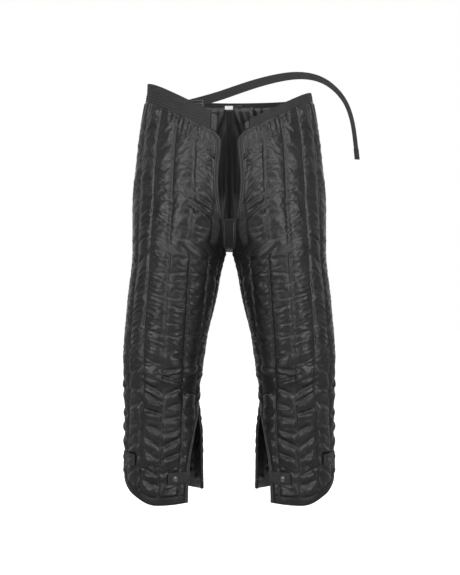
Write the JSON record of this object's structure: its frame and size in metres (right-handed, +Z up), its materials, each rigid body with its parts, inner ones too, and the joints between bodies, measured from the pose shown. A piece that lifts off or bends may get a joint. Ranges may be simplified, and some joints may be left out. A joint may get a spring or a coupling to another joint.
{
  "type": "quilted trouser liner",
  "caption": "Black quilted nylon thermal trouser liner with elastic waist, side strap, open fly, hem slits and snap tabs.",
  "frame": {"origin": "centre of the waist opening, level with the side of the left waistband's top edge", "axes": "+Z up towards the waist, +X towards the wearer's left, -Y towards the front"},
  "size_m": [0.5365, 0.2592, 0.954],
  "materials": {
    "nylon_shell": "satin woven nylon, quilted in channels",
    "wadding": "soft polyester wadding",
    "nylon_lining": "smooth woven nylon lining",
    "elastic": "matte ribbed elastic",
    "webbing": "matte woven webbing",
    "binding_tape": "matte twill tape",
    "snap_metal": "darkened steel snap parts",
    "slider_plastic": "matte moulded plastic",
    "label_satin": "smooth satin label, blank"
  },
  "bodies": {
    "garment": {"back_waistband": "elastic", "blank_label": "label_satin", "centre_back_seam_tape": "binding_tape", "crotch_gusset": "nylon_shell", "label_backing": "binding_tape", "left_back_hem_band": "nylon_shell", "left_back_lining": "nylon_lining", "left_back_shell": "nylon_shell", "left_back_slit_binding": "binding_tape", "left_back_wadding": "wadding", "left_band_end": "binding_tape", "left_fly_binding": "binding_tape", "left_front_hem_band": "nylon_shell", "left_front_lining": "nylon_lining", "left_front_shell": "nylon_shell", "left_front_slit_binding": "binding_tape", "left_front_wadding": "wadding", "left_inseam_tape": "binding_tape", "left_knee_gusset": "nylon_shell", "left_side_seam_tape": "binding_tape", "left_waistband": "elastic", "right_back_hem_band": "nylon_shell", "right_back_lining": "nylon_lining", "right_back_shell": "nylon_shell", "right_back_slit_binding": "binding_tape", "right_back_wadding": "wadding", "right_band_end": "binding_tape", "right_fly_binding": "binding_tape", "right_front_hem_band": "nylon_shell", "right_front_lining": "nylon_lining", "right_front_shell": "nylon_shell", "right_front_slit_binding": "binding_tape", "right_front_wadding": "wadding", "right_inseam_tape": "binding_tape", "right_knee_gusset": "nylon_shell", "right_side_seam_tape": "binding_tape", "right_waistband": "elastic", "slider_keeper_loop": "webbing", "slit_bar_tacks": "binding_tape", "snap_stud_backs": "snap_metal", "snap_studs": "snap_metal", "strap_anchor": "webbing", "strap_end": "webbing", "waist_strap": "webbing"},
    "right_inner_tab_body": {"right_inner_tab": "nylon_shell", "right_inner_tab_snap_cap": "snap_metal", "right_inner_tab_snap_socket": "snap_metal"},
    "right_outer_tab_body": {"right_outer_tab": "nylon_shell", "right_outer_tab_snap_cap": "snap_metal", "right_outer_tab_snap_socket": "snap_metal"},
    "left_inner_tab_body": {"left_inner_tab": "nylon_shell", "left_inner_tab_snap_cap": "snap_metal", "left_inner_tab_snap_socket": "snap_metal"},
    "left_outer_tab_body": {"left_outer_tab": "nylon_shell", "left_outer_tab_snap_cap": "snap_metal", "left_outer_tab_snap_socket": "snap_metal"},
    "slider_body": {"strap_slider": "slider_plastic"}
  },
  "joints": [
    {"name": "right_inner_tab_hinge", "type": "hinge", "parent": "garment", "child": "right_inner_tab_body", "pos_m": [-0.08593, -0.07194, -0.848], "axis": [0, 0, 1], "range_deg": [0, 165]},
    {"name": "left_inner_tab_hinge", "type": "hinge", "parent": "garment", "child": "left_inner_tab_body", "pos_m": [0.08593, -0.07194, -0.848], "axis": [0, 0, -1], "range_deg": [0, 165]},
    {"name": "right_outer_tab_hinge", "type": "hinge", "parent": "garment", "child": "right_outer_tab_body", "pos_m": [-0.23375, -0.02816, -0.812], "axis": [0, 0, -1], "range_deg": [0, 165]},
    {"name": "left_outer_tab_hinge", "type": "hinge", "parent": "garment", "child": "left_outer_tab_body", "pos_m": [0.23375, -0.02816, -0.812], "axis": [0, 0, 1], "range_deg": [0, 165]},
    {"name": "slider_swing", "type": "hinge", "parent": "garment", "child": "slider_body", "pos_m": [-0.069, -0.09883, -0.05], "axis": [-0.9703, 0.2418, 0], "range_deg": [0, 75]}
  ]
}
